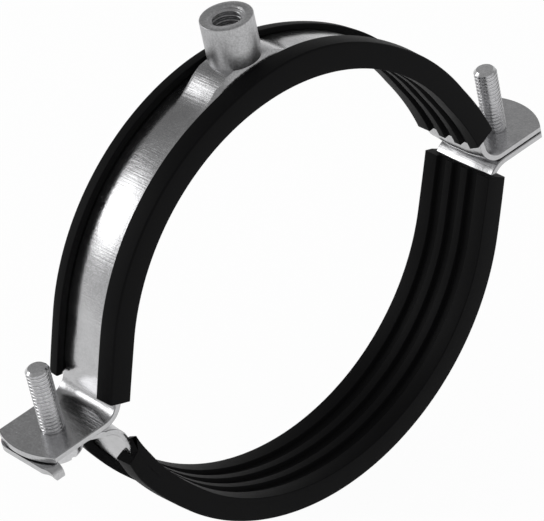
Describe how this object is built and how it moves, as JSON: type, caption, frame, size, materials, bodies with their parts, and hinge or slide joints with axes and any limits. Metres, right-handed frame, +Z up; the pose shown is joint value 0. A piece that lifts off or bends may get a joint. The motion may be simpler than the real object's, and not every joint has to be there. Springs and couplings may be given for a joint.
{
  "type": "rubber lined pipe clamp",
  "caption": "Hinge-free pipe clamp of pressed steel halves with rubber liners, closed by side screws and hung from a threaded boss.",
  "frame": {"origin": "centre of the upper half's pipe seat, midway along the pipe", "axes": "+X across the two ears, +Y along the pipe, +Z up through the threaded boss"},
  "size_m": [0.166, 0.0226, 0.1322],
  "materials": {
    "zinc_sheet": "satin zinc plate with fine crosswise brushing",
    "zinc_turned": "dull zinc plate, lightly grained",
    "zinc_screw": "zinc plate, rolled thread",
    "black_rubber": "matt extruded rubber"
  },
  "bodies": {
    "upper_half": {"upper_band": "zinc_sheet", "boss_nut": "zinc_turned", "upper_liner": "black_rubber"},
    "lower_half": {"lower_band": "zinc_sheet", "lower_liner": "black_rubber"},
    "left_screw_body": {"left_screw": "zinc_screw"},
    "right_screw_body": {"right_screw": "zinc_screw"}
  },
  "joints": [
    {"name": "lower_half_slide", "type": "slide", "parent": "upper_half", "child": "lower_half", "axis": [0, 0, -1], "range_m": [0, 0.014]},
    {"name": "left_screw_turn", "type": "hinge", "parent": "lower_half", "child": "left_screw_body", "pos_m": [-0.0729, 0, 0], "axis": [0, 0, -1], "range_deg": [0, 5040]},
    {"name": "right_screw_turn", "type": "hinge", "parent": "lower_half", "child": "right_screw_body", "pos_m": [0.0729, 0, 0], "axis": [0, 0, -1], "range_deg": [0, 5040]}
  ],
  "couplings": [
    {"joint": "left_screw_turn", "follows": "lower_half_slide", "rad_per_m": 6283.2},
    {"joint": "right_screw_turn", "follows": "lower_half_slide", "rad_per_m": 6283.2}
  ]
}
